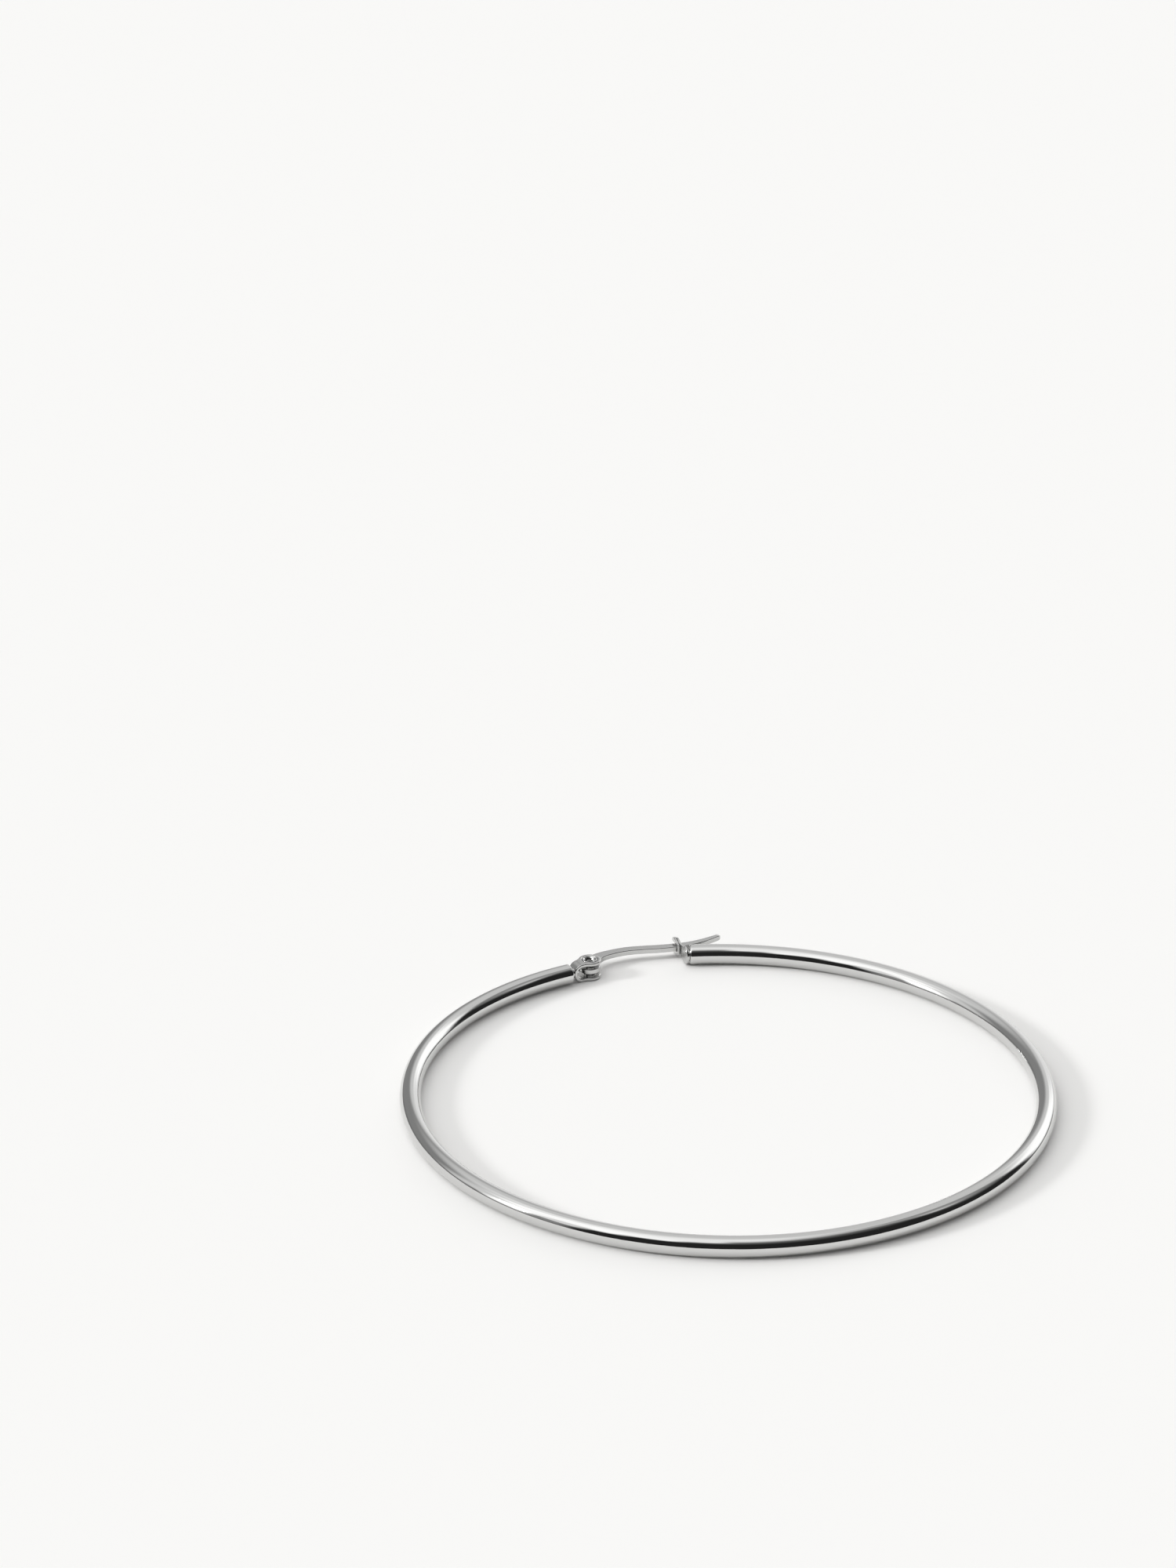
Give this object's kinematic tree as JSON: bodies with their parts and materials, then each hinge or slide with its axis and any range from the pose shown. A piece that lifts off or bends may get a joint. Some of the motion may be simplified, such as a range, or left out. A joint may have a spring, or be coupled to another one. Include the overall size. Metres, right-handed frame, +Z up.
{
  "type": "hinged hoop earring",
  "caption": "Large thin round hoop earring in polished metal with a riveted lever at the gap that swings up from a folded hinge bracket and snaps into a folded fork catch.",
  "frame": {"origin": "middle of the underside of the earring's box as it lies on its side", "axes": "+Z up, across the plane of the hoop; +Y from the hoop's centre towards the middle of the clasp; +X from the hinge towards the catch"},
  "size_m": [0.062, 0.0634, 0.002],
  "materials": {
    "polished_steel": "mirror polished stainless steel with fine handling marks",
    "satin_steel": "stamped stainless strip, flat faces satin and edges polished"
  },
  "bodies": {
    "hoop": {"hoop_tube": "polished_steel", "hinge_bracket": "satin_steel", "rivet": "polished_steel", "latch_catch": "satin_steel"},
    "lever": {"latch_lever": "satin_steel"}
  },
  "joints": [
    {"name": "lever_hinge", "type": "hinge", "parent": "hoop", "child": "lever", "pos_m": [-0.00411, 0.02886, 0.001], "axis": [0, 0, 1], "range_deg": [0, 60]}
  ]
}
